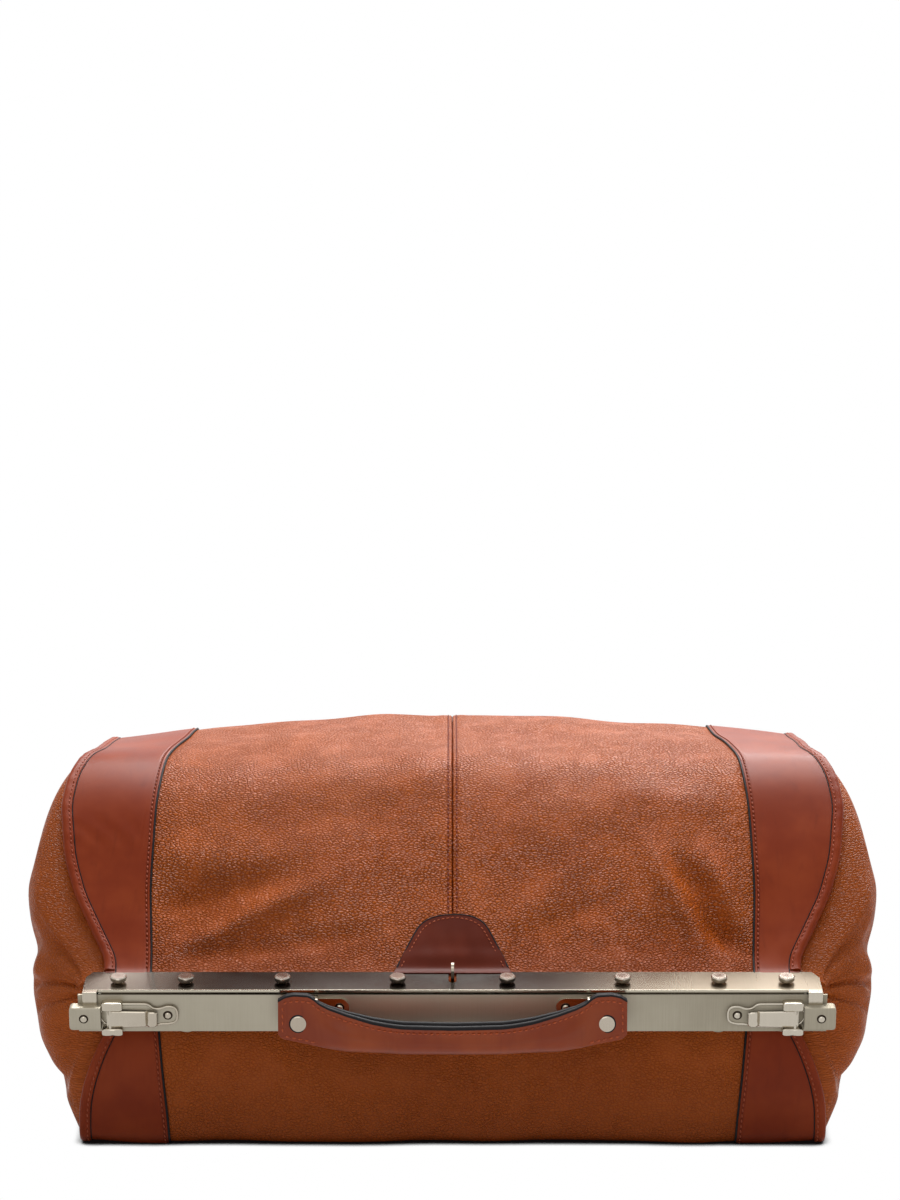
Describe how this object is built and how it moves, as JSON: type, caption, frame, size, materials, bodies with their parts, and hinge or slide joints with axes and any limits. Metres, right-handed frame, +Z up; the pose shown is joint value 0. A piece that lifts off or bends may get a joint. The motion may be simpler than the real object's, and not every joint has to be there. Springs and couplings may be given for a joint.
{
  "type": "travel bag",
  "caption": "Framed leather travel bag lying on its rear panel, with a hinged steel mouth, lever catches, padlock staple and a padded handle.",
  "frame": {"origin": "middle of the bag's footprint on the surface that it lies on, under its rear panel", "axes": "+Z up from the rear panel to the front panel, +Y from the mouth to the base, +X along the mouth to the right as seen from the handle's side"},
  "size_m": [0.5382, 0.3167, 0.242],
  "materials": {
    "pebbled_leather": "pebbled full-grain leather, tan, low sheen",
    "smooth_leather": "smooth vegetable-tanned leather, red-brown, soft sheen",
    "lining_cloth": "woven twill",
    "fibre_board": "pressed fibre board",
    "nickel_steel": "nickel-plated steel, brushed"
  },
  "bodies": {
    "bag": {"front_panel_left": "pebbled_leather", "front_panel_right": "pebbled_leather", "base_panel": "pebbled_leather", "rear_panel": "pebbled_leather", "band_left": "smooth_leather", "band_right": "smooth_leather", "binding_left": "smooth_leather", "binding_right": "smooth_leather", "gusset_left": "pebbled_leather", "gusset_right": "pebbled_leather", "gusset_pleat_left": "pebbled_leather", "gusset_pleat_right": "pebbled_leather", "lining": "lining_cloth", "base_board": "fibre_board", "base_feet": "nickel_steel", "rear_jaw": "nickel_steel", "rear_strip": "nickel_steel", "rear_studs": "nickel_steel", "hinge_pins": "nickel_steel", "hinge_washers": "nickel_steel", "padlock_staple": "nickel_steel", "catch_base_left": "nickel_steel", "catch_base_right": "nickel_steel", "catch_pin_left": "nickel_steel", "catch_pin_right": "nickel_steel", "catch_spring_left": "nickel_steel", "catch_spring_right": "nickel_steel", "catch_rivets": "nickel_steel", "handle_saddle_left": "nickel_steel", "handle_saddle_right": "nickel_steel", "saddle_rivets": "nickel_steel"},
    "opening_side": {"front_jaw": "nickel_steel", "catch_tongues": "nickel_steel", "front_strip": "nickel_steel", "front_studs": "nickel_steel", "front_fold_left": "pebbled_leather", "front_fold_right": "pebbled_leather", "band_fold_left": "smooth_leather", "band_fold_right": "smooth_leather", "binding_fold_left": "smooth_leather", "binding_fold_right": "smooth_leather", "gusset_fold_left": "pebbled_leather", "gusset_fold_right": "pebbled_leather", "lining_fold": "lining_cloth", "padlock_tab": "smooth_leather"},
    "handle": {"handle_cover": "smooth_leather", "handle_core": "fibre_board", "handle_rivets": "nickel_steel"},
    "left_lever": {"catch_lever_left": "nickel_steel"},
    "right_lever": {"catch_lever_right": "nickel_steel"}
  },
  "joints": [
    {"name": "jaw_hinge", "type": "hinge", "parent": "bag", "child": "opening_side", "pos_m": [0, -0.02669, 0.11418], "axis": [-1, 0, 0], "range_deg": [0, 60], "deforming": ["front_fold_left", "front_fold_right", "band_fold_left", "band_fold_right", "binding_fold_left", "binding_fold_right", "gusset_fold_left", "gusset_fold_right", "lining_fold", "padlock_tab", "gusset_pleat_left", "gusset_pleat_right"]},
    {"name": "handle_swing", "type": "hinge", "parent": "bag", "child": "handle", "pos_m": [0, -0.14471, 0.09886], "axis": [-1, 0, 0], "range_deg": [-4, 165]},
    {"name": "left_catch_lever", "type": "hinge", "parent": "bag", "child": "left_lever", "pos_m": [-0.2121, -0.13807, 0.08806], "axis": [0, 0.2198, -0.9755], "range_deg": [0, 95]},
    {"name": "right_catch_lever", "type": "hinge", "parent": "bag", "child": "right_lever", "pos_m": [0.2121, -0.13807, 0.08806], "axis": [0, -0.2198, 0.9755], "range_deg": [0, 95]}
  ]
}
